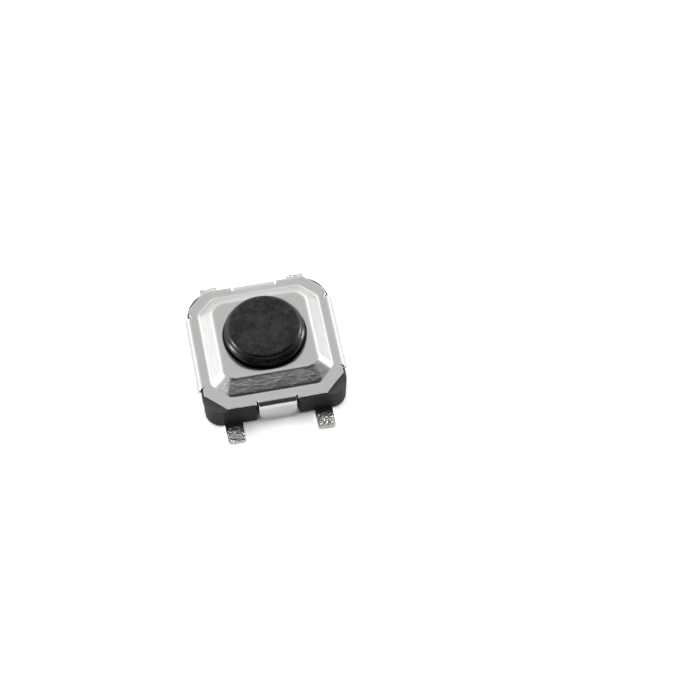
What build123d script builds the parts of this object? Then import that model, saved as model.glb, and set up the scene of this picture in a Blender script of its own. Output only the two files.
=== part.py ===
from build123d import *
import os
from math import radians, sqrt, tan

# Surface-mount pushbutton: a moulded base with two stamped lead frames set in it, a snap dome,
# a round plunger and a drawn and folded sheet cover. Millimetres, seating plane at z = 0,
# origin under the middle of the plunger, the short tab of the cover towards -Y.

# Leads, and the flat strip that they are stamped from
LEAD_PITCH = 3.00
LEAD_PROUD = 0.70
LEAD_WIDTH = 0.60
LEAD_CORNER = 0.07
STRIP = 0.15
STRIP_LIFT = 0.30
ROOT_INSET = 0.45
LEAD_RUN_UP = 0.18
LEAD_BEND = 0.12
ROOT_STEP = 0.17
ROOT_STEP_PROUD = 0.06

# Moulded base
BODY_X = 4.80
BODY_Y = 4.80
FRONT_CORNER = 0.60
REAR_CORNER = 1.00
DRAFT = 2.6
STANDOFF = 0.05
FOLD_ROOM_X = 0.14
FOLD_ROOM_Y = 0.18
RIB_R = 0.12
RIB_INSET = 0.30
RIB_GAP = 0.01

# Sheet cover: flange, raised face, side skirts with hooks, front and rear tabs
SHEET = 0.12
FLANGE_TOP = 1.05
BEND = 0.12
FOLD_LAP = 0.14
FLANGE_INSET_X = 0.08
FLANGE_INSET_Y = 0.04
FLANGE_CLIP = 0.64
RELIEF = 0.05
RISE = 0.45
SLOPE = 45.0
BORDER_X = 0.20
BORDER_Y = 0.14
FOOT_CLIP = 0.55
FOOT_R = 0.16
BROW_R = 0.26
RIDGE_R = 0.24
SKIRT_LENGTH = 2.84
SKIRT_EDGE = 0.74
SKIRT_CORNER = 0.08
HOOK_LENGTH = 0.80
HOOK_EDGE = 0.10
HOOK_REACH = 0.06
HOOK_ROOM = 0.05
FRONT_TAB = 1.26
FRONT_TAB_EDGE = 0.18
FRONT_TAB_CORNER = 0.26
REAR_TAB = 1.40
REAR_TAB_EDGE = 0.10
REAR_HEAD = 1.32
REAR_HEAD_REACH = 0.51
REAR_HEAD_CORNER = 0.22
REAR_NECK = 0.74
REAR_NOTCH_R = 0.35
REAR_NOTCH_LIFT = 0.28
TAB_ROOM = 0.09

# Plunger, and the hole that it travels in
HOLE_R = 1.39
PLUNGER_GAP = 0.055
TRAVEL = 0.25
COLLAR_HEIGHT = 0.31
COLLAR_EDGE = 0.05
CAP_STEP = 0.09
CAP_HEIGHT = 0.19
CAP_EDGE = 0.12
RIM_ROOM = 0.04
RIM_EDGE = 0.08
RIM_HEIGHT = 0.26
RIM_WIDTH = 0.28
RIM_UNDERCUT = 0.12
HEAD_ROOM = 0.02
PAD_R = 0.45
TOUCH_GAP = 0.02

# Well, snap dome and contacts
WELL_FLOOR = 0.50
WELL_MARGIN = 0.31
DOME_ROOM = 0.10
DOME_SHEET = 0.06
CONTACT_RAISE = 0.05
CONTACT_R = 0.22
DIMPLE_R = 0.11
DIMPLE_INSET = 0.06
TONGUE_Y = 0.62
TONGUE_WIDTH = 0.30

# Contact strips seen through the windows in the underside
CONTACT_STRIP = 0.54
CONTACT_STRIP_TIP = -0.36
ARM_FRONT = 0.45
ARM_BACK = 0.80
PRONG_IN = 0.38
PRONG_OUT = 0.70
PRONG_TIP = 0.17
TIE_LEFT = -0.26
TIE_RIGHT = 0.30
TIE_INSET = 0.54
LINK_ROOM = 0.17
LINK_WIDTH = 0.35
STUB_WIDTH = 0.16
STUB_LEFT = -0.76
STUB_RIGHT = 0.42
STUB_PROUD = 0.04

# Windows in the underside, and the bars moulded across them
WINDOW_TOP = 0.40
CENTRE_WINDOW = 1.44
CENTRE_FRONT = -0.45
CENTRE_BACK = 0.48
FRONT_WINDOW_DEPTH = 0.93
POCKET_ROOM = 0.35
BAR_LIFT = 0.03
CENTRE_BAR = 0.34
FRONT_BAR_LEFT = -0.20
FRONT_BAR_RIGHT = 0.14

# Heights and places that follow from the values above
BODY_TOP = FLANGE_TOP - SHEET
PLATEAU_TOP = FLANGE_TOP + RISE
MID_SHEET = FLANGE_TOP - SHEET / 2
BEND_X = BODY_X / 2 - FOLD_ROOM_X
BEND_Y = BODY_Y / 2 - FOLD_ROOM_Y
BEND_OUT = BEND + SHEET
BEND_MID = BEND + SHEET / 2
FOOT_X = HOLE_R + BORDER_X + RISE / tan(radians(SLOPE))
FOOT_Y = HOLE_R + BORDER_Y + RISE / tan(radians(SLOPE))
WELL_R = HOLE_R + WELL_MARGIN
DOME_R = WELL_R - DOME_ROOM
DOME_RISE = TRAVEL + CONTACT_RAISE
DOME_TOP = WELL_FLOOR + DOME_RISE + DOME_SHEET
LEAD_X = LEAD_PITCH / 2
TIP_Y = BODY_Y / 2 + LEAD_PROUD
LEAD_ROOT = BODY_Y / 2 - ROOT_INSET
STRIP_TOP = STRIP_LIFT + STRIP
STRIP_MID = STRIP_LIFT + STRIP / 2
FRONT_WINDOW_BACK = FRONT_WINDOW_DEPTH - BODY_Y / 2
TIE_TIP = TIE_INSET - BODY_Y / 2
LINK_FRONT = FRONT_WINDOW_BACK + LINK_ROOM
LINK_BACK = LINK_FRONT + LINK_WIDTH
REAR_HEAD_END = BEND_Y - REAR_HEAD_REACH
REAR_POCKET_FRONT = REAR_HEAD_END - POCKET_ROOM
MITRE = SHEET * tan(radians(SLOPE / 2))

# Slack when an edge is picked by where it lies
PICK = 0.001


def block(x0, x1, y0, y1, z0, z1):
    """A rectangular block between two corners."""
    return Pos((x0 + x1) / 2, (y0 + y1) / 2, (z0 + z1) / 2) * Box(x1 - x0, y1 - y0, z1 - z0)


def upright(radius, z0, z1, x=0, y=0):
    """A vertical cylinder between two heights."""
    return Pos(x, y, (z0 + z1) / 2) * Cylinder(radius, z1 - z0)


def ribbon(points, across, width, thickness, bend):
    """Flat strip swept along a bent path; bend is the radius at the middle of its thickness."""
    path = FilletPolyline(*points, radius=bend) if len(points) > 2 else Line(*points)
    section = Plane(origin=path @ 0, x_dir=across, z_dir=path % 0) * Rectangle(width, thickness)
    return sweep(section, path=path)


def clipped(size_x, size_y, clip):
    """A rectangle with its four corners cut at 45 degrees."""
    sketch = Rectangle(size_x, size_y)
    return chamfer(sketch.vertices(), clip)


# Cover

def bulge(slab, half_x, half_y, clip, level, foot_r, brow_r, ridge_r):
    """A slab with a sloping, flat-topped rise on it, rounded at its ridges, brow and foot."""
    outline = Pos(0, 0, level) * clipped(2 * half_x, 2 * half_y, clip)
    hill = extrude(outline, amount=RISE, taper=90 - SLOPE)
    hill = fillet(hill.edges().group_by(Axis.Z)[1], ridge_r)
    hill = fillet(hill.edges().group_by(Axis.Z)[-1], brow_r)
    form = slab + hill
    foot = [
        edge
        for edge in form.edges().filter_by_position(Axis.Z, level - PICK, level + PICK)
        if abs(edge.center().X) < half_x + PICK and abs(edge.center().Y) < half_y + PICK
    ]
    return fillet(foot, foot_r)


def raised_plate():
    """Flange and raised face as one drawn sheet of even thickness, with the plunger's hole."""
    flange_x = BODY_X - 2 * FLANGE_INSET_X
    flange_y = BODY_Y - 2 * FLANGE_INSET_Y
    flange = extrude(Pos(0, 0, BODY_TOP) * clipped(flange_x, flange_y, FLANGE_CLIP), amount=SHEET)
    outside = bulge(flange, FOOT_X, FOOT_Y, FOOT_CLIP, FLANGE_TOP, FOOT_R, BROW_R, RIDGE_R)
    under_x, under_y = FOOT_X - MITRE, FOOT_Y - MITRE
    under_clip = FOOT_CLIP - MITRE * (2 - sqrt(2))
    below = block(-BODY_X, BODY_X, -BODY_Y, BODY_Y, 0, BODY_TOP)
    radii = (FOOT_R + SHEET, BROW_R - SHEET, RIDGE_R - SHEET)
    inside = bulge(below, under_x, under_y, under_clip, BODY_TOP, *radii)
    plate = outside - inside - upright(HOLE_R, 0, PLATEAU_TOP + SHEET)
    # The flange is cut back to the bend lines where a skirt or a tab folds down
    for end in (-1, 1):
        for half, line, edge, is_side in (
            (SKIRT_LENGTH / 2, BEND_X, BODY_X / 2, True),
            ((FRONT_TAB if end < 0 else REAR_TAB) / 2, BEND_Y, BODY_Y / 2, False),
        ):
            near, far = sorted((end * line, end * edge))
            along = (-half - RELIEF, half + RELIEF)
            spans = (near, far, *along) if is_side else (*along, near, far)
            plate -= block(*spans, BODY_TOP, FLANGE_TOP)
    return plate


def side_skirt(side):
    """A short skirt folded down at one side, with a hook in its middle that grips the base."""
    wall = side * (BEND_X + BEND_MID)
    path = [(side * (BEND_X - FOLD_LAP), 0, MID_SHEET), (wall, 0, MID_SHEET), (wall, 0, SKIRT_EDGE)]
    skirt = ribbon(path, (0, 1, 0), SKIRT_LENGTH, SHEET, BEND_MID)
    low_corners = skirt.edges().filter_by(Axis.X).group_by(Axis.Z)[0]
    skirt = fillet(low_corners, SKIRT_CORNER)
    foot = HOOK_EDGE + SHEET / 2
    hook_path = [
        (wall, 0, SKIRT_EDGE + SKIRT_CORNER),
        (wall, 0, foot),
        (side * (BEND_X - HOOK_REACH), 0, foot),
    ]
    return skirt + ribbon(hook_path, (0, 1, 0), HOOK_LENGTH, SHEET, BEND_MID)


def front_tab():
    """The short tab at the front, folded straight down with rounded corners."""
    wall = -BEND_Y - BEND_MID
    path = [(0, FOLD_LAP - BEND_Y, MID_SHEET), (0, wall, MID_SHEET), (0, wall, FRONT_TAB_EDGE)]
    tab = ribbon(path, (1, 0, 0), FRONT_TAB, SHEET, BEND_MID)
    return fillet(tab.edges().filter_by(Axis.Y).group_by(Axis.Z)[0], FRONT_TAB_CORNER)


def rear_tab():
    """The long tab at the back: down, under the base, and out to a wide head past a narrow neck."""
    wall = BEND_Y + BEND_MID
    low = REAR_TAB_EDGE + SHEET / 2
    path = [
        (0, BEND_Y - FOLD_LAP, MID_SHEET),
        (0, wall, MID_SHEET),
        (0, wall, low),
        (0, REAR_HEAD_END, low),
    ]
    tab = ribbon(path, (1, 0, 0), REAR_TAB, SHEET, BEND_MID)
    notch_x = REAR_NECK / 2 + REAR_NOTCH_R
    for side in (-1, 1):
        outer, inner = side * REAR_TAB, side * REAR_HEAD / 2
        tab -= block(*sorted((outer, inner)), 0, BEND_Y, 0, low + SHEET)
        tab -= upright(REAR_NOTCH_R, 0, low + SHEET, side * notch_x, wall)
        across = Pos(side * notch_x, wall, REAR_NOTCH_LIFT) * Rot(90, 0, 0)
        tab -= across * Cylinder(REAR_NOTCH_R, 2 * SHEET)
    ends = tab.edges().filter_by(Axis.Z).group_by(Axis.Y)[0]
    return fillet(ends, REAR_HEAD_CORNER)


def cover():
    """The one-piece cover."""
    return raised_plate() + side_skirt(-1) + side_skirt(1) + front_tab() + rear_tab()


# Lead frames

def rail(side):
    """One side rail with a lead at each end, stepped down from the strip's height to the board."""
    x = side * LEAD_X
    ramp = LEAD_ROOT - LEAD_RUN_UP
    low, high = STRIP / 2, STRIP_MID
    path = [
        (x, -TIP_Y, low), (x, -LEAD_ROOT, low), (x, -ramp, high),
        (x, ramp, high), (x, LEAD_ROOT, low), (x, TIP_Y, low),
    ]
    strip = ribbon(path, (1, 0, 0), LEAD_WIDTH, STRIP, LEAD_BEND)
    across_tips = strip.edges().filter_by(Axis.Z).group_by(Axis.Y)
    return fillet(across_tips[0] + across_tips[-1], LEAD_CORNER)


def flat(x0, x1, y0, y1):
    """A flat arm of a lead frame at the strip's height."""
    return block(x0, x1, y0, y1, STRIP_LIFT, STRIP_TOP)


def centre_frame():
    """Frame of the centre contact: left rail, contact strip, and the cut tie at the front window."""
    half = CONTACT_STRIP / 2
    frame = rail(-1)
    frame += flat(-LEAD_X, half, ARM_FRONT, ARM_BACK)
    frame += flat(-half, half, CONTACT_STRIP_TIP, ARM_BACK)
    frame += flat(-PRONG_OUT, -PRONG_IN, PRONG_TIP, ARM_BACK)
    frame += flat(-LEAD_X, TIE_RIGHT, LINK_FRONT, LINK_BACK)
    frame += flat(TIE_LEFT, TIE_RIGHT, TIE_TIP, LINK_BACK)
    frame += flat(STUB_LEFT, STUB_LEFT + STUB_WIDTH, FRONT_WINDOW_BACK - STUB_PROUD, LINK_BACK)
    return frame + upright(CONTACT_R, STRIP_TOP, WELL_FLOOR + CONTACT_RAISE)


def outer_frame():
    """Frame of the outer contact: right rail, two tongues with dimples under the dome's rim."""
    frame = rail(1)
    frame += flat(PRONG_IN, LEAD_X, ARM_FRONT, ARM_BACK)
    frame += flat(PRONG_IN, PRONG_OUT, PRONG_TIP, ARM_BACK)
    frame += flat(STUB_RIGHT, LEAD_X, LINK_BACK - STUB_WIDTH, LINK_BACK)
    frame += flat(STUB_RIGHT, STUB_RIGHT + STUB_WIDTH, FRONT_WINDOW_BACK, LINK_BACK)
    dimple_x = sqrt((DOME_R - DIMPLE_INSET) ** 2 - TONGUE_Y ** 2)
    reach = dimple_x - DIMPLE_R - DIMPLE_INSET
    for y in (-TONGUE_Y, TONGUE_Y):
        frame += flat(reach, LEAD_X, y - TONGUE_WIDTH / 2, y + TONGUE_WIDTH / 2)
        frame += upright(DIMPLE_R, STRIP_TOP, WELL_FLOOR, dimple_x, y)
    # The rear lead is narrower on its outer side where it leaves the base
    outer = LEAD_X + LEAD_WIDTH / 2
    step_end = BODY_Y / 2 + ROOT_STEP_PROUD
    return frame - block(outer - ROOT_STEP, outer, 0, step_end, 0, STRIP_LIFT)


# Base

def base_block():
    """The drafted block with rounded corners, and the round well for the dome."""
    outline = Rectangle(BODY_X, BODY_Y)
    outline = fillet(outline.vertices().group_by(Axis.Y)[0], FRONT_CORNER)
    outline = fillet(outline.vertices().group_by(Axis.Y)[-1], REAR_CORNER)
    body = extrude(Pos(0, 0, BODY_TOP) * outline, amount=STANDOFF - BODY_TOP, taper=DRAFT)
    return body - upright(WELL_R, WELL_FLOOR, FLANGE_TOP)


def fold_rooms():
    """Room that the base leaves for the cover's skirts, hooks and tabs."""
    cuts = []
    skirt = SKIRT_LENGTH / 2 + HOOK_ROOM
    hook = HOOK_LENGTH / 2 + HOOK_ROOM
    hook_in = BEND_X - HOOK_REACH - HOOK_ROOM
    hook_top = HOOK_EDGE + SHEET + HOOK_ROOM
    for side in (-1, 1):
        cuts.append(block(*sorted((side * BEND_X, side * BODY_X)), -skirt, skirt, 0, FLANGE_TOP))
        cuts.append(block(*sorted((side * hook_in, side * BODY_X)), -hook, hook, 0, hook_top))
    front = FRONT_TAB / 2 + TAB_ROOM
    rear = REAR_TAB / 2 + TAB_ROOM
    cuts.append(block(-front, front, -BODY_Y, -BEND_Y, 0, FLANGE_TOP))
    cuts.append(block(-rear, rear, BEND_Y, BODY_Y, 0, FLANGE_TOP))
    cuts.append(block(-front, front, -BODY_Y, FRONT_WINDOW_BACK, 0, WINDOW_TOP))
    cuts.append(block(-rear, rear, REAR_POCKET_FRONT, BODY_Y, 0, WINDOW_TOP))
    half = CENTRE_WINDOW / 2
    cuts.append(block(-half, half, CENTRE_FRONT, CENTRE_BACK, 0, WINDOW_TOP))
    return cuts


def window_bars():
    """Bars left across the two windows, under the contact strips."""
    low = STANDOFF + BAR_LIFT
    half = CENTRE_BAR / 2
    return [
        block(-half, half, CONTACT_STRIP_TIP, CENTRE_BACK, low, WINDOW_TOP),
        block(FRONT_BAR_LEFT, FRONT_BAR_RIGHT, TIE_TIP, FRONT_WINDOW_BACK, low, WINDOW_TOP),
    ]


def crush_ribs():
    """Half-round ribs on the side walls that centre the cover's skirts."""
    x = BEND_X + BEND - RIB_GAP - RIB_R
    y = SKIRT_LENGTH / 2 - RIB_INSET
    top = FLANGE_TOP - BEND_OUT
    return [upright(RIB_R, STANDOFF, top, sx * x, sy * y) for sx in (-1, 1) for sy in (-1, 1)]


def base(frames):
    """The moulded base, with the lead frames' own shape taken out of it."""
    body = base_block() - fold_rooms()
    body = body + window_bars() + crush_ribs()
    return body - frames


# Plunger and dome

def plunger():
    """Two-step round cap with a wide rim that the cover holds down and a pad over the dome."""
    rim_top = PLATEAU_TOP - SHEET - HEAD_ROOM
    rim_low = rim_top - RIM_HEIGHT
    pad = DOME_TOP + TOUCH_GAP
    hollow = rim_low + RIM_UNDERCUT
    rim_in = DOME_R - RIM_WIDTH
    catch_r = HOLE_R + min(BORDER_X, BORDER_Y) - MITRE - RIM_ROOM
    collar_r = HOLE_R - PLUNGER_GAP
    cap_r = collar_r - CAP_STEP
    collar_top = PLATEAU_TOP + COLLAR_HEIGHT
    cap_top = collar_top + CAP_HEIGHT
    profile = [
        (0, pad), (PAD_R, pad), (PAD_R, hollow), (rim_in, hollow),
        (rim_in, rim_low), (DOME_R, rim_low), (DOME_R, rim_low + RIM_EDGE), (catch_r, rim_top),
        (collar_r, rim_top), (collar_r, collar_top), (cap_r, collar_top), (cap_r, cap_top), (0, cap_top),
    ]
    outline = Polyline(*[(radius, 0, z) for radius, z in profile], close=True)
    body = revolve(make_face(outline), Axis.Z)
    for radius, height, rounding in ((cap_r, cap_top, CAP_EDGE), (collar_r, collar_top, COLLAR_EDGE)):
        ring = [
            edge
            for edge in body.edges().filter_by(GeomType.CIRCLE)
            if abs(edge.radius - radius) < PICK and abs(edge.center().Z - height) < PICK
        ]
        body = fillet(ring, rounding)
    return body


def snap_dome():
    """A shallow round spring cap that stands on the floor of the well."""
    radius = (DOME_R ** 2 + DOME_RISE ** 2) / (2 * DOME_RISE)
    centre = Pos(0, 0, WELL_FLOOR + DOME_RISE - radius)
    shell = centre * Sphere(radius + DOME_SHEET) - centre * Sphere(radius)
    return shell & upright(DOME_R, WELL_FLOOR, DOME_TOP + DOME_SHEET)


def build():
    """Every piece by its name."""
    frames = [centre_frame(), outer_frame()]
    return {
        "base": base(frames),
        "lead_frame_centre": frames[0],
        "lead_frame_outer": frames[1],
        "snap_dome": snap_dome(),
        "plunger": plunger(),
        "cover": cover(),
    }


os.makedirs("parts", exist_ok=True)
for name, piece in build().items():
    export_step(piece, f"parts/{name}.step")
    print(name, [round(v, 3) for v in (*piece.bounding_box().min, *piece.bounding_box().max)])
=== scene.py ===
import math

import bmesh
import bpy
from mathutils import Matrix, Vector


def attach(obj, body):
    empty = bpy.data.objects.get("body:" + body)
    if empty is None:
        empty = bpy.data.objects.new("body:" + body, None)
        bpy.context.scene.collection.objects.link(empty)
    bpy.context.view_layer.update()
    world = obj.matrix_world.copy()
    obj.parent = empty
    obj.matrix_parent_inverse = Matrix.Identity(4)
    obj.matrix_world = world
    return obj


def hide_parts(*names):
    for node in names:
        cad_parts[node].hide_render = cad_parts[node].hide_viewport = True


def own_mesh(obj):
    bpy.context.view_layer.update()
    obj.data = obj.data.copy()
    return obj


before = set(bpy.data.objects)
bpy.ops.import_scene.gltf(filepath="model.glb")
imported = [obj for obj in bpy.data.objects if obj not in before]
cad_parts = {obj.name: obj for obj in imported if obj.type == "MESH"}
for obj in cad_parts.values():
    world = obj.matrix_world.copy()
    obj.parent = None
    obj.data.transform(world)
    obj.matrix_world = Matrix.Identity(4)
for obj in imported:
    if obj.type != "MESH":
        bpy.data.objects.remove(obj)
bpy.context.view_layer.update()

# Sizes here are in mm unless a comment says otherwise, and Blender's are in metres
MM = 0.001
# Height of the cover's flange, above which the finish of its slopes begins
FLANGE_TOP = 1.05


# Camera
# The pose that the leads, the cover's corners and the hole give: place in mm, angles in degrees
CAMERA_PLACE = (-4.7598, -43.9975, 67.9638)
CAMERA_AZIMUTH = -9.812
CAMERA_ELEVATION = 56.835
CAMERA_ROLL = -1.344
CLIP_NEAR, CLIP_FAR = 1.0, 10000.0
FOCAL_PIXELS = 2416.2
IMAGE_PIXELS = 700
SENSOR_WIDTH = 36.0


def set_camera():
    """A long lens looking down on the switch from the front."""
    azimuth, elevation, roll = map(math.radians, (CAMERA_AZIMUTH, CAMERA_ELEVATION, CAMERA_ROLL))
    forward = Vector((
        -math.sin(azimuth) * math.cos(elevation),
        math.cos(azimuth) * math.cos(elevation),
        -math.sin(elevation),
    ))
    level = Vector((math.cos(azimuth), math.sin(azimuth), 0.0))
    painted_top_light = level.cross(forward)
    right = math.cos(roll) * level + math.sin(roll) * painted_top_light
    up = math.cos(roll) * painted_top_light - math.sin(roll) * level
    lens = bpy.data.cameras.new("camera")
    lens.sensor_width = SENSOR_WIDTH
    lens.lens = FOCAL_PIXELS / IMAGE_PIXELS * SENSOR_WIDTH
    lens.clip_start = CLIP_NEAR * MM
    lens.clip_end = CLIP_FAR * MM
    camera = bpy.data.objects.new("camera", lens)
    turn = Matrix((right, up, -forward)).transposed().to_4x4()
    camera.matrix_world = Matrix.Translation(Vector(CAMERA_PLACE) * MM) @ turn
    bpy.context.scene.collection.objects.link(camera)
    bpy.context.scene.camera = camera


set_camera()
bpy.context.scene.view_settings.view_transform = "Standard"


# Nodes and colour

def linear(hex_colour):
    """An sRGB hex colour as linear RGBA."""
    parts = [int(hex_colour[i:i + 2], 16) / 255 for i in (1, 3, 5)]
    return tuple(c / 12.92 if c <= 0.04045 else ((c + 0.055) / 1.055) ** 2.4 for c in parts) + (1.0,)


def add(tree, kind, settings=None, links=None):
    """Adds a node, sets its properties and input values, and links its inputs."""
    made = tree.nodes.new(kind)
    for key, value in (settings or {}).items():
        if isinstance(key, str) and hasattr(made, key):
            setattr(made, key, value)
        else:
            made.inputs[key].default_value = value
    for key, source in (links or {}).items():
        tree.links.new(source, made.inputs[key])
    return made


def new_material(name):
    """An empty material, with its tree and its output node."""
    material = bpy.data.materials.new(name)
    material.use_nodes = True
    tree = material.node_tree
    tree.nodes.clear()
    return material, tree, tree.nodes.new("ShaderNodeOutputMaterial")


# Studio
# Brightness of the walls by height, where 0 is the horizon and 1 is straight up
WALLS = ((0.0, 1.05), (0.08, 1.12), (0.22, 1.50), (0.45, 1.45), (0.62, 0.95), (0.80, 0.63), (1.0, 0.70))
# The dark side of the room lies in front of the switch, a little to its right. Each pair runs from where the
# dark starts to where it is full: round the walls, up from the horizon, and down from the ceiling.
DARK_SIDE = (0.087, -0.996, 0.0)
DARK_ACROSS = (0.02, 0.48)
DARK_FOOT = (-0.02, 0.05)
DARK_HEAD = (0.99, 0.93)
DARK_SHADE = 0.045
# The wall opposite the dark side is held down to the second brightness
REAR_ACROSS = (-0.78, -0.95)
REAR_LIMIT = (1.5, 0.95)
# The table: its half size, its colour, what the camera sees added to it, and what gloss sees added to it
# near the switch and far from it. The larger near share is a painted pool of light, seen only in gloss
TABLE_HALF = 400
TABLE_COLOUR = 0.9
TABLE_SEEN = 2.4
TABLE_NEAR, TABLE_FAR = 4, 10
TABLE_MIRRORED = (1.3, 0.55)
# Side lamps: direction from the switch, width and height
LAMPS = {
    "left_lamp": ((-0.95, 0.09, 0.36), 26, 32),
    "right_lamp": ((0.95, 0.20, 0.18), 24, 26),
}
LAMP_DISTANCE = 100.0
LAMP_RADIANCE = 18


def studio_world():
    """Bright soft walls left and right, a plainer one behind, a dim ceiling, and a dark room in front."""
    world = bpy.data.worlds.new("studio")
    bpy.context.scene.world = world
    world.use_nodes = True
    tree = world.node_tree
    tree.nodes.clear()
    where = add(tree, "ShaderNodeTexCoord")
    parts = add(tree, "ShaderNodeSeparateXYZ", links={0: where.outputs["Generated"]})
    x, y, z = (parts.outputs[i] for i in range(3))
    height = add(tree, "ShaderNodeValToRGB", links={0: z})
    ramp = height.color_ramp
    ramp.interpolation = "EASE"
    while len(ramp.elements) < len(WALLS):
        ramp.elements.new(0.5)
    for element, (place, value) in zip(ramp.elements, WALLS):
        element.position = place
        element.color = (value, value, value, 1.0)
    flat = add(tree, "ShaderNodeVectorMath", {"operation": "NORMALIZE"}, {
        0: add(tree, "ShaderNodeCombineXYZ", links={0: x, 1: y}).outputs[0]})
    ahead = add(tree, "ShaderNodeVectorMath", {"operation": "DOT_PRODUCT", 1: DARK_SIDE}, {
        0: flat.outputs[0]})
    across, foot, head = (
        add(tree, "ShaderNodeMapRange", {
            "interpolation_type": "SMOOTHSTEP", "From Min": start, "From Max": full}, {0: source})
        for source, (start, full) in (
            (ahead.outputs["Value"], DARK_ACROSS), (z, DARK_FOOT), (z, DARK_HEAD))
    )
    band = add(tree, "ShaderNodeMath", {"operation": "MULTIPLY"}, {
        0: across.outputs[0], 1: foot.outputs[0]})
    dark = add(tree, "ShaderNodeMath", {"operation": "MULTIPLY"}, {
        0: band.outputs[0], 1: head.outputs[0]})
    behind = add(tree, "ShaderNodeMapRange", {
        "From Min": REAR_ACROSS[0], "From Max": REAR_ACROSS[1],
        "To Min": REAR_LIMIT[0], "To Max": REAR_LIMIT[1]}, {0: ahead.outputs["Value"]})
    walls = add(tree, "ShaderNodeMath", {"operation": "MINIMUM"}, {
        0: height.outputs[0], 1: behind.outputs[0]})
    room = add(tree, "ShaderNodeMix", {"data_type": "RGBA", 7: (DARK_SHADE,) * 3 + (1.0,)}, {
        0: dark.outputs[0], 6: walls.outputs[0]})
    path = add(tree, "ShaderNodeLightPath")
    seen = add(tree, "ShaderNodeMix", {"data_type": "RGBA", 7: (1.0, 1.0, 1.0, 1.0)}, {
        0: path.outputs["Is Camera Ray"], 6: room.outputs[2]})
    background = add(tree, "ShaderNodeBackground", {"Strength": 1.0}, {0: seen.outputs[2]})
    end = add(tree, "ShaderNodeOutputWorld")
    tree.links.new(background.outputs[0], end.inputs[0])


def studio_floor():
    """A plain white table, paler to the camera than it lights, with the switch's shadow on it.
    Gloss sees it paler too, and most of all close to the switch, where a painted pool of light lifts it."""
    half = TABLE_HALF * MM
    mesh = bpy.data.meshes.new("floor")
    corners = [(-half, -half, 0), (half, -half, 0), (half, half, 0), (-half, half, 0)]
    mesh.from_pydata(corners, [], [(0, 1, 2, 3)])
    floor = bpy.data.objects.new("floor", mesh)
    bpy.context.scene.collection.objects.link(floor)
    material, tree, end = new_material("white_table")
    path = add(tree, "ShaderNodeLightPath")
    mirrored = add(tree, "ShaderNodeMath", {"operation": "MAXIMUM"}, {
        0: path.outputs["Is Glossy Ray"], 1: path.outputs["Is Transmission Ray"]})
    place = add(tree, "ShaderNodeTexCoord")
    away = add(tree, "ShaderNodeVectorMath", {"operation": "LENGTH"}, {0: place.outputs["Object"]})
    # Painted light: gloss sees the table brighter close to the switch, as a pool of light over the switch's
    # shadow
    share = add(tree, "ShaderNodeMapRange", {
        "From Min": TABLE_NEAR * MM, "From Max": TABLE_FAR * MM,
        "To Min": TABLE_MIRRORED[0], "To Max": TABLE_MIRRORED[1]}, {0: away.outputs["Value"]})
    in_gloss = add(tree, "ShaderNodeMath", {"operation": "MULTIPLY_ADD", 2: TABLE_COLOUR}, {
        0: mirrored.outputs[0], 1: share.outputs[0]})
    in_view = add(tree, "ShaderNodeMath", {"operation": "MULTIPLY_ADD", 1: TABLE_SEEN}, {
        0: path.outputs["Is Camera Ray"], 2: in_gloss.outputs[0]})
    paper = add(tree, "ShaderNodeBsdfDiffuse", links={"Color": in_view.outputs[0]})
    tree.links.new(paper.outputs[0], end.inputs[0])
    mesh.materials.append(material)


def side_lamp(name, towards, wide, tall):
    """A small lamp on this side of the switch, which only shows as a highlight in gloss."""
    lamp = bpy.data.lights.new(name, "AREA")
    lamp.shape = "RECTANGLE"
    lamp.size = wide * MM
    lamp.size_y = tall * MM
    lamp.energy = LAMP_RADIANCE * math.pi * lamp.size * lamp.size_y
    holder = bpy.data.objects.new(name, lamp)
    aim = Vector(towards).normalized()
    holder.location = aim * LAMP_DISTANCE * MM
    holder.rotation_euler = aim.to_track_quat("Z", "Y").to_euler()
    holder.visible_diffuse = False
    bpy.context.scene.collection.objects.link(holder)


studio_world()
studio_floor()
for lamp_name, (direction, width, height) in LAMPS.items():
    side_lamp(lamp_name, direction, width, height)


# Materials
# How many marks there are to the mm, along their run and across it
ROLLING_LINES = (1.2, 22)
DRAG_MARKS = (1.7, 16)
SPRING_LINES = (2, 30)
# How many spots there are to the mm in the finishes that have no run
SHEET_WAVE = 1.6
NYLON_GRAIN = 18
CAP_CLOUD, CAP_GRAIN = 2.8, 8
TIN_SPOTS = 11
# Heights above the flange between which the drag marks fade in
DRAG_FOOT = (0.02, 0.10)
# Distances from the middle between which the tinned ends of the leads begin
WETTED_FROM, WETTED_TO = 2.45, 2.75


def along(axis, run, across):
    """The scale of marks that run along one axis, from how many there are to the mm each way."""
    return tuple((run if k == axis else across) / MM for k in range(3))


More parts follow.
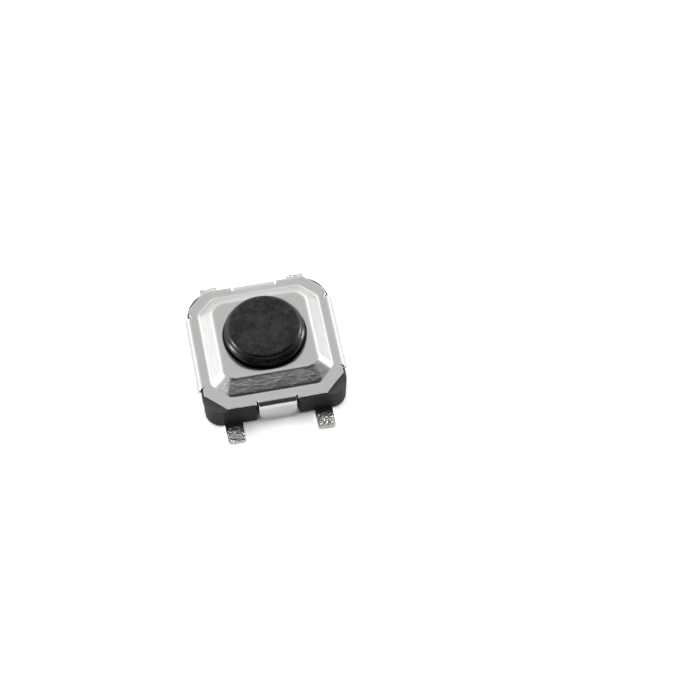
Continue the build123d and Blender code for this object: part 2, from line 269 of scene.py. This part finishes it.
def rolled_stainless():
    """Rolled and drawn stainless sheet: bright and nearly smooth, with fine rolling lines. The slopes
    carry duller drag marks of the draw, about 0.6 mm long, which show as streaks where they mirror the
    dark room. Real lines and marks are finer, and these are as coarse and deep as they need to show."""
    material, tree, end = new_material("rolled_stainless")
    place = add(tree, "ShaderNodeTexCoord").outputs["Object"]
    lines = add(tree, "ShaderNodeMapping", {"Scale": along(0, *ROLLING_LINES)}, {0: place})
    grain = add(tree, "ShaderNodeTexNoise", {"Scale": 1.0, "Detail": 3.0}, {"Vector": lines.outputs[0]})
    wave = add(tree, "ShaderNodeTexNoise", {"Scale": SHEET_WAVE / MM, "Detail": 1.0}, {"Vector": place})
    facing = add(tree, "ShaderNodeSeparateXYZ", links={
        0: add(tree, "ShaderNodeNewGeometry").outputs["Normal"]})
    above = add(tree, "ShaderNodeMapRange", {
        "From Min": (FLANGE_TOP + DRAG_FOOT[0]) * MM, "From Max": (FLANGE_TOP + DRAG_FOOT[1]) * MM}, {
        0: add(tree, "ShaderNodeSeparateXYZ", links={0: place}).outputs[2]})
    marked, grooves = [], []
    # The front and rear slopes face along Y and are marked along X. The sides are marked less, along Y.
    for faces, run, share in ((1, 0, 1.0), (0, 1, 0.15)):
        tilt = add(tree, "ShaderNodeMath", {"operation": "ABSOLUTE"}, {0: facing.outputs[faces]})
        slope = add(tree, "ShaderNodeMapRange", {
            "interpolation_type": "SMOOTHSTEP", "From Min": 0.42, "From Max": 0.69,
            "To Min": 0.0, "To Max": share}, {0: tilt.outputs[0]})
        marked.append(add(tree, "ShaderNodeMath", {"operation": "MULTIPLY"}, {
            0: above.outputs[0], 1: slope.outputs[0]}).outputs[0])
        drag = add(tree, "ShaderNodeMapping", {"Scale": along(run, *DRAG_MARKS)}, {0: place})
        marks = add(tree, "ShaderNodeTexNoise", {"Scale": 1.0, "Detail": 3.0, "Roughness": 0.6}, {
            "Vector": drag.outputs[0]})
        # Half is taken off so that the marked slope as a whole is neither raised nor sunk at its borders
        level = add(tree, "ShaderNodeMath", {"operation": "SUBTRACT", 1: 0.5}, {0: marks.outputs[0]})
        grooves.append(add(tree, "ShaderNodeMath", {"operation": "MULTIPLY"}, {
            0: level.outputs[0], 1: marked[-1]}).outputs[0])
    drawn = add(tree, "ShaderNodeMath", {"operation": "MAXIMUM"}, {0: marked[0], 1: marked[1]})
    groove = add(tree, "ShaderNodeMath", {"operation": "ADD"}, {0: grooves[0], 1: grooves[1]})
    dull = add(tree, "ShaderNodeMapRange", {"To Min": 0.20, "To Max": 0.33}, {0: drawn.outputs[0]})
    fine = add(tree, "ShaderNodeBump", {"Strength": 0.25, "Distance": 0.004 * MM}, {
        "Height": grain.outputs[0]})
    broad = add(tree, "ShaderNodeBump", {"Strength": 0.5, "Distance": 0.02 * MM}, {
        "Height": wave.outputs[0], "Normal": fine.outputs[0]})
    scored = add(tree, "ShaderNodeBump", {"Strength": 1.0, "Distance": 0.042 * MM}, {
        "Height": groove.outputs[0], "Normal": broad.outputs[0]})
    steel = add(tree, "ShaderNodeBsdfPrincipled", {
        "Base Color": linear("#dededc"), "Metallic": 1.0}, {
        "Roughness": dull.outputs[0], "Normal": scored.outputs[0]})
    tree.links.new(steel.outputs[0], end.inputs[0])
    return material


def moulded_nylon():
    """Glass-filled nylon, as moulded: near black, satin, with a fine grain that softens its highlights.
    Faces that look up are painted a paler grey as light from above, and the sides a darker one as shade, to
    match how pale they are seen."""
    material, tree, end = new_material("moulded_nylon")
    place = add(tree, "ShaderNodeTexCoord").outputs["Object"]
    grain = add(tree, "ShaderNodeTexNoise", {"Scale": NYLON_GRAIN / MM, "Detail": 3.0}, {"Vector": place})
    rough = add(tree, "ShaderNodeBump", {"Strength": 0.7, "Distance": 0.010 * MM}, {
        "Height": grain.outputs[0]})
    facing = add(tree, "ShaderNodeSeparateXYZ", links={
        0: add(tree, "ShaderNodeNewGeometry").outputs["Normal"]})
    # Painted light: the colour runs from #2b2b2d on the sides to #606061 on faces that look up, as if light
    # falls from above
    painted_top_light = add(tree, "ShaderNodeMapRange", {"From Min": 0.1, "From Max": 0.8}, {0: facing.outputs[2]})
    shade = add(tree, "ShaderNodeMix", {
        "data_type": "RGBA", 6: linear("#2b2b2d"), 7: linear("#606061")}, {0: painted_top_light.outputs[0]})
    body = add(tree, "ShaderNodeBsdfPrincipled", {
        "Roughness": 0.55, "IOR": 1.5, "Specular IOR Level": 0.3}, {
        "Base Color": shade.outputs[2], "Normal": rough.outputs[0]})
    tree.links.new(body.outputs[0], end.inputs[0])
    return material


def matte_cap():
    """Moulded nylon button: near black, with a low sheen. Its flat top has the paler, duller clouds that
    handling leaves, and is painted paler as light from above. Its sides are painted darker as shade, to
    match how dark they are seen, and are glossier, and show a narrow highlight."""
    material, tree, end = new_material("matte_cap")
    place = add(tree, "ShaderNodeTexCoord").outputs["Object"]
    cloud = add(tree, "ShaderNodeTexNoise", {
        "Scale": CAP_CLOUD / MM, "Detail": 5.0, "Roughness": 0.7}, {"Vector": place})
    cloudy = add(tree, "ShaderNodeMapRange", {"From Min": 0.43, "From Max": 0.60, "To Min": 0.1}, {
        0: cloud.outputs[0]})
    facing = add(tree, "ShaderNodeSeparateXYZ", links={
        0: add(tree, "ShaderNodeNewGeometry").outputs["Normal"]})
    # Painted light: the sides get near-black #040404 as painted shade, and the top is painted up towards
    # #3a3a3b as light from above, varied by the clouds
    painted_top_light = add(tree, "ShaderNodeMapRange", {"From Min": 0.5, "From Max": 0.95}, {0: facing.outputs[2]})
    clouds_and_painted_top_light = add(tree, "ShaderNodeMath", {"operation": "MULTIPLY"}, {
        0: cloudy.outputs[0], 1: painted_top_light.outputs[0]})
    shade = add(tree, "ShaderNodeMix", {
        "data_type": "RGBA", 6: linear("#040404"), 7: linear("#3a3a3b")}, {0: clouds_and_painted_top_light.outputs[0]})
    worn = add(tree, "ShaderNodeMapRange", {"To Min": 0.19, "To Max": 0.34}, {0: clouds_and_painted_top_light.outputs[0]})
    grain = add(tree, "ShaderNodeTexNoise", {"Scale": CAP_GRAIN / MM, "Detail": 4.0}, {"Vector": place})
    rough = add(tree, "ShaderNodeBump", {"Strength": 0.4, "Distance": 0.003 * MM}, {
        "Height": grain.outputs[0]})
    body = add(tree, "ShaderNodeBsdfPrincipled", {"IOR": 1.5, "Specular IOR Level": 0.42}, {
        "Base Color": shade.outputs[2], "Roughness": worn.outputs[0], "Normal": rough.outputs[0]})
    tree.links.new(body.outputs[0], end.inputs[0])
    return material


def silvered_strip():
    """Silver-plated brass strip, wetted with tin outside the base: bright, and mottled where it is wetted.
    The mottling is deeper than the real one, so that it shows as light and dark spots."""
    material, tree, end = new_material("silvered_strip")
    place = add(tree, "ShaderNodeTexCoord").outputs["Object"]
    spots = add(tree, "ShaderNodeTexNoise", {
        "Scale": TIN_SPOTS / MM, "Detail": 2.0, "Roughness": 0.6}, {"Vector": place})
    reach = add(tree, "ShaderNodeMath", {"operation": "ABSOLUTE"}, {
        0: add(tree, "ShaderNodeSeparateXYZ", links={0: place}).outputs[1]})
    wetted = add(tree, "ShaderNodeMapRange", {
        "From Min": WETTED_FROM * MM, "From Max": WETTED_TO * MM, "To Min": 0.15, "To Max": 1.0}, {
        0: reach.outputs[0]})
    height = add(tree, "ShaderNodeMath", {"operation": "MULTIPLY"}, {
        0: spots.outputs[0], 1: wetted.outputs[0]})
    lumps = add(tree, "ShaderNodeBump", {"Strength": 1.0, "Distance": 0.095 * MM}, {
        "Height": height.outputs[0]})
    metal = add(tree, "ShaderNodeBsdfPrincipled", {
        "Base Color": linear("#e6e6e2"), "Metallic": 1.0, "Roughness": 0.15}, {
        "Normal": lumps.outputs[0]})
    tree.links.new(metal.outputs[0], end.inputs[0])
    return material


def spring_strip():
    """Hard-rolled stainless spring strip: bright, with a faint grain that draws its reflections out."""
    material, tree, end = new_material("spring_strip")
    place = add(tree, "ShaderNodeTexCoord").outputs["Object"]
    lines = add(tree, "ShaderNodeMapping", {"Scale": along(0, *SPRING_LINES)}, {0: place})
    grain = add(tree, "ShaderNodeTexNoise", {"Scale": 1.0, "Detail": 2.0}, {"Vector": lines.outputs[0]})
    fine = add(tree, "ShaderNodeBump", {"Strength": 0.2, "Distance": 0.003 * MM}, {
        "Height": grain.outputs[0]})
    metal = add(tree, "ShaderNodeBsdfPrincipled", {
        "Base Color": linear("#d2d2d0"), "Metallic": 1.0, "Roughness": 0.2}, {
        "Normal": fine.outputs[0]})
    tree.links.new(metal.outputs[0], end.inputs[0])
    return material


# Cover
# The sheet, and the height of its raised face. Its slope is at 45 degrees, so it runs in as far as it rises.
SHEET = 0.12
RISE = 0.45
PLATEAU_TOP = FLANGE_TOP + RISE
HOLE_R = 1.39
# Radii of the outer skin: at the slope's foot, over its brow, and at the ridges between the slopes, which is
# near the most that the innermost ring has room for
FOOT_R = 0.16
BROW_R = 0.26
RIDGE_R = 0.33
# Half size along X, half size along Y and corner clip: of the flange, the slope's foot and the fold lines
FLANGE = (2.32, 2.36, 0.64)
FOOT = (2.04, 1.98, 0.55)
BEND_X, BEND_Y, BEND_CLIP = 2.26, 2.22, 0.56
# The folds' outer radius, the slot at each end of a fold, and the round of a clipped corner
BEND_OUT = 0.24
RELIEF = 0.05
CLIP_ROUND = 0.02
# The round of all sheared edges, its steps, and the least angle in degrees that counts as such an edge
EDGE_ROUND, EDGE_SEGMENTS, EDGE_ANGLE = 0.013, 3, 50
# Side skirts, whose edge stays this far below the fold, each with a hook that turns in under the base
SKIRT_HALF, SKIRT_EDGE, SKIRT_CORNER, SKIRT_DROP = 1.42, 0.74, 0.08, 0.01
HOOK_HALF, HOOK_LOW, HOOK_TIP = 0.40, 0.10, 2.20
# Front tab
FRONT_HALF, FRONT_EDGE, FRONT_CORNER = 0.63, 0.18, 0.30
# Rear tab: a full width down the wall, a neck round the lower bend, and a wide head under the base
REAR_HALF, REAR_LOW, REAR_END = 0.70, 0.10, 1.71
HEAD_HALF, HEAD_CORNER = 0.66, 0.22
NOTCH_R, NOTCH_X, NOTCH_Z, NOTCH_Y = 0.35, 0.72, 0.28, 2.40

# The straight sides as ring() numbers them, and the way that each faces
RIGHT, REAR, LEFT, FRONT = 0, 2, 4, 6
OUTWARD = {RIGHT: (1, 0), REAR: (0, 1), LEFT: (-1, 0), FRONT: (0, -1)}
FOLD_HALF = {RIGHT: SKIRT_HALF, REAR: REAR_HALF, LEFT: SKIRT_HALF, FRONT: FRONT_HALF}
# Half the straight part of each side, and where the mesh has its columns along it, from the middle out. The
# last column of a fold is wider than an edge's round, which would turn over itself otherwise.
SIDE_FLAT, END_FLAT = FLANGE[1] - FLANGE[2], FLANGE[0] - FLANGE[2]
SIDE_STOPS = (
    0.0, 0.2, HOOK_HALF, 0.62, 0.85, 1.08, 1.24, SKIRT_HALF - SKIRT_CORNER, SKIRT_HALF - 0.035,
    SKIRT_HALF, SKIRT_HALF + RELIEF,
)
FRONT_STOPS = (
    0.0, 0.12, 0.25, FRONT_HALF - FRONT_CORNER, 0.44, 0.50, 0.555, 0.595,
    FRONT_HALF, FRONT_HALF + RELIEF, 0.90, 1.15, 1.40,
)
REAR_STOPS = (0.0, 0.16, 0.32, 0.44, 0.54, 0.63, REAR_HALF, REAR_HALF + RELIEF, 0.95, 1.18, 1.40)
COLUMNS = {
    RIGHT: (SIDE_STOPS, SIDE_FLAT), REAR: (REAR_STOPS, END_FLAT),
    LEFT: (SIDE_STOPS, SIDE_FLAT), FRONT: (FRONT_STOPS, END_FLAT),
}
# Where the mesh has its rows: heights down the walls, and distances out along the rear tab's head
HOOK_ROWS = (0.62, 0.46)
FRONT_ROWS = (0.70, 0.60, 0.50)
REAR_ROWS = (0.72, 0.63, 0.61, 0.57, 0.51, 0.44, 0.38)
HEAD_ROWS = (2.16, 2.11, 2.07, 2.05, 1.99, 1.93, 1.86, 1.80, 1.75, 1.72)
# Steps round a corner of a ring, up the slope's foot, over its brow, and round the folds and the hooks
CORNER_TURN, FOOT_TURN, BROW_TURN, FOLD_TURN, HOOK_TURN = 4, 4, 7, 6, 5
# Where a ring has its points between the rounds of a clipped corner
CLIP_SHARES = (0.25, 0.5, 0.75)
# Two lengths that are nearer than this are the same, and a face whose normal's height is over this is level
SAME = 1e-6
LEVEL_FROM = 0.9


def ring(half_x, half_y, clip, rounding):
    """Points round a clipped rectangle with rounded corners. Those on a straight side carry a tag, of the
    side and the place along it."""
    corners = [
        (half_x, clip - half_y), (half_x, half_y - clip),
        (half_x - clip, half_y), (clip - half_x, half_y),
        (-half_x, half_y - clip), (-half_x, clip - half_y),
        (clip - half_x, -half_y), (half_x - clip, -half_y),
    ]
    reach = rounding * math.tan(math.pi / 8)
    points = []
    for i in range(8):
        before, here, after = (Vector(corners[(i + k) % 8]) for k in (-1, 0, 1))
        into, out = (here - before).normalized(), (after - here).normalized()
        start = here - into * reach
        inward = Vector((-into.y, into.x))
        centre = start + inward * rounding
        for k in range(CORNER_TURN + 1):
            turn = math.radians(45) * k / CORNER_TURN
            spoke = Matrix.Rotation(turn, 2) @ -inward
            points.append((centre + spoke * rounding, None))
        if i not in COLUMNS:
            a, b = here + out * reach, after - out * reach
            points += [(a.lerp(b, share), None) for share in CLIP_SHARES]
            continue
        stops, flat = COLUMNS[i]
        middle = (here + after) / 2
        half = (after - here) / 2
        for s in [-s for s in reversed(stops[1:])] + list(stops):
            points.append((middle + half * (s / flat), (i, s)))
    return points


def slope_ring(inward):
    """The outline of the raised face, this far in from the slope's foot."""
    return ring(FOOT[0] - inward, FOOT[1] - inward, FOOT[2] - inward * (2 - math.sqrt(2)), RIDGE_R)


def rise_profile():
    """How the sheet climbs from flange to raised face: distance in from the foot, and height."""
    steps = []
    reach = FOOT_R * math.tan(math.pi / 8)
    for k in range(FOOT_TURN + 1):
        t = math.radians(45) * k / FOOT_TURN
        steps.append((-reach + FOOT_R * math.sin(t), FOOT_R * (1 - math.cos(t))))
    reach = BROW_R * math.tan(math.pi / 8)
    for k in range(BROW_TURN + 1):
        t = math.radians(45) * (1 - k / BROW_TURN)
        steps.append((RISE + reach - BROW_R * math.sin(t), RISE - BROW_R * (1 - math.cos(t))))
    return steps


def fold_arc(centre, start, end, count):
    """Points of a fold's quarter turn between two angles in degrees, without its first point."""
    return [
        (centre[0] + BEND_OUT * math.cos(t), centre[1] + BEND_OUT * math.sin(t))
        for t in (math.radians(start + (end - start) * k / count) for k in range(1, count + 1))
    ]


def corner_lift(distance, radius):
    """How far a rounded lower corner lifts the edge at this distance from the side."""
    if distance >= radius:
        return 0.0
    return radius - math.sqrt(radius ** 2 - (radius - distance) ** 2)


# Centres of the upper folds, and the outer faces of the walls below them
SIDE_KNEE = (BEND_X, FLANGE_TOP - BEND_OUT)
END_KNEE = (BEND_Y, FLANGE_TOP - BEND_OUT)
SIDE_WALL, END_WALL = BEND_X + BEND_OUT, BEND_Y + BEND_OUT


def straight(points, half=math.inf):
    """A row of a fold for each point, given as its way out and its height. Past half, to either side, it
    has no points."""
    for out, height in points:
        yield lambda s, o=out, h=height: (o, s, h) if abs(s) <= half + SAME else None


def skirt_rows():
    """A side skirt with rounded lower corners, and its hook."""
    yield from straight(fold_arc(SIDE_KNEE, 90, 0, FOLD_TURN))
    highest = SIDE_KNEE[1] - SKIRT_DROP
    yield lambda s: (
        SIDE_WALL, s, min(highest, SKIRT_EDGE + corner_lift(SKIRT_HALF - abs(s), SKIRT_CORNER)))
    foot = BEND_X, HOOK_LOW + BEND_OUT
    hook = [(SIDE_WALL, height) for height in HOOK_ROWS + (foot[1],)]
    hook += fold_arc(foot, 0, -90, HOOK_TURN) + [(HOOK_TIP, HOOK_LOW)]
    yield from straight(hook, HOOK_HALF)


def front_rows():
    """The short front tab with rounded lower corners."""
    yield from straight(fold_arc(END_KNEE, 90, 0, FOLD_TURN))
    yield from straight([(END_WALL, height) for height in FRONT_ROWS])
    yield lambda s: (END_WALL, s, FRONT_EDGE + corner_lift(FRONT_HALF - abs(s), FRONT_CORNER))


def rear_width(out, height):
    """Half the rear tab's width where it lies: full, necked at the lower bend, or the head's."""
    width = REAR_HALF if height > NOTCH_Z or out > BEND_Y else HEAD_HALF
    for reach in (height - NOTCH_Z if out > BEND_Y else None, out - NOTCH_Y if height < NOTCH_Z else None):
        if reach is not None and abs(reach) < NOTCH_R:
            width = min(width, NOTCH_X - math.sqrt(NOTCH_R ** 2 - reach ** 2))
    end = out - REAR_END
    if height < NOTCH_Z and end < HEAD_CORNER:
        width = HEAD_HALF - corner_lift(end, HEAD_CORNER)
    return width


def rear_rows():
    """The long rear tab: down the wall, round under the base, and in to its head."""
    low = BEND_Y, REAR_LOW + BEND_OUT
    path = fold_arc(END_KNEE, 90, 0, FOLD_TURN)
    path += [(END_WALL, height) for height in REAR_ROWS + (low[1],)]
    path += fold_arc(low, 0, -90, FOLD_TURN)
    path += [(out, REAR_LOW) for out in HEAD_ROWS + (REAR_END,)]
    for out, height in path:
        yield lambda s, o=out, h=height: (o, s * rear_width(o, h) / REAR_HALF, h)


def draw_fold(shape, bend, side, rows):
    """Draws a fold down from the bend line. Each row gives a point's way out, its place along the side
    and its height, or nothing where the fold is narrower."""
    half = FOLD_HALF[side]
    column = [(vert, tag[1]) for vert, tag in bend if tag and tag[0] == side and abs(tag[1]) <= half + SAME]
    above = [vert for vert, _ in column]
    span = [s for _, s in column]
    out_x, out_y = OUTWARD[side]
    for row in rows:
        below = []
        for s in span:
            where = row(s)
            if where is None:
                below.append(None)
                continue
            out, place, height = where
            below.append(shape.verts.new((out_x * out - out_y * place, out_y * out + out_x * place, height)))
        for k in range(len(span) - 1):
            four = (above[k], below[k], below[k + 1], above[k + 1])
            if None not in four:
                shape.faces.new(four)
        above = below


def draw_lip(shape, bend, edge):
    """Draws the narrow flange outside the bend lines, with a relief slot at each end of a fold."""
    def in_fold(a, b):
        """Whether both points lie on one side, between the slots of its fold."""
        if not a or not b or a[0] != b[0]:
            return False
        return max(abs(a[1]), abs(b[1])) <= FOLD_HALF[a[0]] + RELIEF + SAME

    outer = {}
    for i, (vert, tag) in enumerate(bend):
        j = (i + 1) % len(bend)
        if in_fold(tag, bend[j][1]):
            continue
        for k in (i, j):
            if k not in outer:
                outer[k] = shape.verts.new((*edge[k][0], FLANGE_TOP))
        shape.faces.new((vert, outer[i], outer[j], bend[j][0]))


def cover_mesh():
    """The cover's outer skin: rings from the hole to the bend lines, the flange's lip, and the folds."""
    shape = bmesh.new()
    profile = rise_profile()
    plateau = slope_ring(profile[-1][0])
    hole = [(point.normalized() * HOLE_R, tag) for point, tag in plateau]
    middle = [(a.lerp(b, 0.5), tag) for (a, tag), (b, _) in zip(hole, plateau)]
    outlines = [(hole, PLATEAU_TOP), (middle, PLATEAU_TOP)]
    outlines += [(slope_ring(inward), FLANGE_TOP + height) for inward, height in reversed(profile)]
    bend_line = ring(BEND_X, BEND_Y, BEND_CLIP, CLIP_ROUND)
    outlines.append((bend_line, FLANGE_TOP))
    rings = [[shape.verts.new((*point, height)) for point, _ in outline] for outline, height in outlines]
    for inner, outer in zip(rings, rings[1:]):
        for i in range(len(inner)):
            j = (i + 1) % len(inner)
            shape.faces.new((inner[i], outer[i], outer[j], inner[j]))
    bend = [(vert, tag) for vert, (_, tag) in zip(rings[-1], bend_line)]
    draw_lip(shape, bend, ring(*FLANGE, CLIP_ROUND))
    draw_fold(shape, bend, RIGHT, skirt_rows())
    draw_fold(shape, bend, LEFT, skirt_rows())
    draw_fold(shape, bend, FRONT, front_rows())
    draw_fold(shape, bend, REAR, rear_rows())
    bmesh.ops.recalc_face_normals(shape, faces=shape.faces)
    bmesh.ops.scale(shape, vec=(MM, MM, MM), verts=shape.verts)
    mesh = bpy.data.meshes.new("cover_sheet")
    shape.to_mesh(mesh)
    shape.free()
    return mesh


def add_piece(name, mesh, material):
    """A new piece in the scene with this mesh and finish."""
    piece = bpy.data.objects.new(name, mesh)
    bpy.context.scene.collection.objects.link(piece)
    mesh.materials.append(material)
    return piece


def shade_smooth(mesh):
    """Shades all faces smooth."""
    mesh.polygons.foreach_set("use_smooth", [True] * len(mesh.polygons))


def settle(piece):
    """Applies the piece's modifiers and shades it smooth."""
    bpy.context.view_layer.update()
    evaluated = piece.evaluated_get(bpy.context.evaluated_depsgraph_get())
    mesh = bpy.data.meshes.new_from_object(evaluated)
    piece.modifiers.clear()
    piece.data = mesh
    shade_smooth(mesh)


def make_cover():
    """The drawn and folded cover: its outer skin, thickened inwards, with its sheared edges rounded."""
    cover = add_piece("cover_sheet", cover_mesh(), rolled_stainless())
    # The sheet thickens inwards, whichever way the faces of the skin look
    flats = [face.normal.z for face in cover.data.polygons if abs(face.normal.z) > LEVEL_FROM]
    outside = sum(math.copysign(1, z) for z in flats)
    wall = cover.modifiers.new("thickness", "SOLIDIFY")
    wall.thickness = SHEET * MM
    wall.offset = -1.0 if outside > 0 else 1.0
    wall.use_even_offset = True
    rounded = cover.modifiers.new("sheared_edges", "BEVEL")
    rounded.width = EDGE_ROUND * MM
    rounded.segments = EDGE_SEGMENTS
    rounded.limit_method = "ANGLE"
    rounded.angle_limit = math.radians(EDGE_ANGLE)
    rounded.use_clamp_overlap = False
    settle(cover)
    even = cover.modifiers.new("even_shading", "WEIGHTED_NORMAL")
    even.keep_sharp = True
    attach(cover, "switch")
    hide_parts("cover")


# Plunger
# The collar and the cap above it: radius, top, and how far in and down the rounding of its edge goes.
# Flatness 1 makes that rounding an ellipse and 2 a chamfer.
COLLAR_R, COLLAR_TOP, COLLAR_EDGE, COLLAR_DROP, COLLAR_FLATNESS = 1.335, 1.81, 0.088, 0.084, 1.7
CAP_R, CAP_TOP, CAP_EDGE, CAP_DROP, CAP_FLATNESS = 1.245, 2.00, 0.16, 0.12, 1.1
# The rim that the cover holds down, tapered from its catch, with a hollow underside and the pad in it
RIM_R, RIM_LOW, RIM_TOP, CATCH_R = 1.60, 1.10, 1.36, 1.44
RIM_EDGE, RIM_IN, HOLLOW = 0.08, 1.32, 1.22
PAD_R, PAD_LOW = 0.45, 0.88
# Rows that only guide the shading: just above an inner corner, half up the collar, and on the cap's flat
CORNER_ROW, COLLAR_ROW, CAP_ROWS = 0.02, 1.6, (0.98, 0.6)
EDGE_STEPS = 18
TURN_STEPS = 192
SHARP_FROM = 40

# Dome
# It stands on the floor of the well.
WELL_FLOOR = 0.50
DOME_R, DOME_RISE, DOME_SHEET, DOME_STEPS = 1.60, 0.30, 0.06, 24


def turned(profile, name):
    """A mesh turned round the plunger's axis from (radius, height) points."""
    shape = bmesh.new()
    rows = []
    for radius, height in profile:
        if radius < SAME:
            rows.append([shape.verts.new((0, 0, height * MM))])
            continue
        rows.append([
            shape.verts.new((
                radius * MM * math.cos(2 * math.pi * k / TURN_STEPS),
                radius * MM * math.sin(2 * math.pi * k / TURN_STEPS),
                height * MM,
            ))
            for k in range(TURN_STEPS)
        ])
    for low, high in zip(rows, rows[1:]):
        for k in range(TURN_STEPS):
            j = (k + 1) % TURN_STEPS
            four = []
            for row, index in ((low, k), (low, j), (high, j), (high, k)):
                vert = row[index % len(row)]
                if vert not in four:
                    four.append(vert)
            shape.faces.new(four)
    bmesh.ops.recalc_face_normals(shape, faces=shape.faces)
    mesh = bpy.data.meshes.new(name)
    shape.to_mesh(mesh)
    shape.free()
    shade_smooth(mesh)
    mesh.set_sharp_from_angle(angle=math.radians(SHARP_FROM))
    return mesh


def rounded_corner(radius, top, inward, down, flatness):
    """Points over an outer upper edge, from its side to its flat."""
    return [
        (radius - inward + inward * math.cos(t) ** flatness, top - down + down * math.sin(t) ** flatness)
        for t in (math.radians(90) * k / EDGE_STEPS for k in range(EDGE_STEPS + 1))
    ]


def make_plunger():
    """The black button in two steps, over a hollow rim with a pad in its middle."""
    profile = [
        (0, PAD_LOW), (PAD_R, PAD_LOW), (PAD_R, HOLLOW),
        (RIM_IN, HOLLOW), (RIM_IN, RIM_LOW), (RIM_R, RIM_LOW),
        (RIM_R, RIM_LOW + RIM_EDGE), (CATCH_R, RIM_TOP), (COLLAR_R, RIM_TOP),
        (COLLAR_R, RIM_TOP + CORNER_ROW), (COLLAR_R, COLLAR_ROW),
    ]
    profile += rounded_corner(COLLAR_R, COLLAR_TOP, COLLAR_EDGE, COLLAR_DROP, COLLAR_FLATNESS)
    profile += [(CAP_R, COLLAR_TOP), (CAP_R, COLLAR_TOP + CORNER_ROW)]
    profile += rounded_corner(CAP_R, CAP_TOP, CAP_EDGE, CAP_DROP, CAP_FLATNESS)
    profile += [(radius, CAP_TOP) for radius in CAP_ROWS + (0,)]
    plunger = add_piece("plunger_cap", turned(profile, "plunger_cap"), matte_cap())
    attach(plunger, "button")
    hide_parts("plunger")


def make_dome():
    """The snap dome, a spherical cap of thin strip."""
    ball = (DOME_R ** 2 + DOME_RISE ** 2) / (2 * DOME_RISE)
    centre = WELL_FLOOR + DOME_RISE - ball

    def bow(radius):
        """Points from the top of the cap down to its rim."""
        spread = math.asin(DOME_R / radius)
        turns = [spread * k / DOME_STEPS for k in range(DOME_STEPS + 1)]
        return [(radius * math.sin(t), centre + radius * math.cos(t)) for t in turns]

    profile = bow(ball) + bow(ball + DOME_SHEET)[::-1]
    dome = add_piece("spring_dome", turned(profile, "spring_dome"), spring_strip())
    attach(dome, "switch")
    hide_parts("snap_dome")
    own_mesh(dome)


def refinish(node, material):
    """Gives a carried-over part its finish."""
    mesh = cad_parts[node].data
    mesh.materials.clear()
    mesh.materials.append(material)


make_cover()
make_plunger()
make_dome()
refinish("base", moulded_nylon())
strip = silvered_strip()
for lead_frame in ("lead_frame_centre", "lead_frame_outer"):
    refinish(lead_frame, strip)
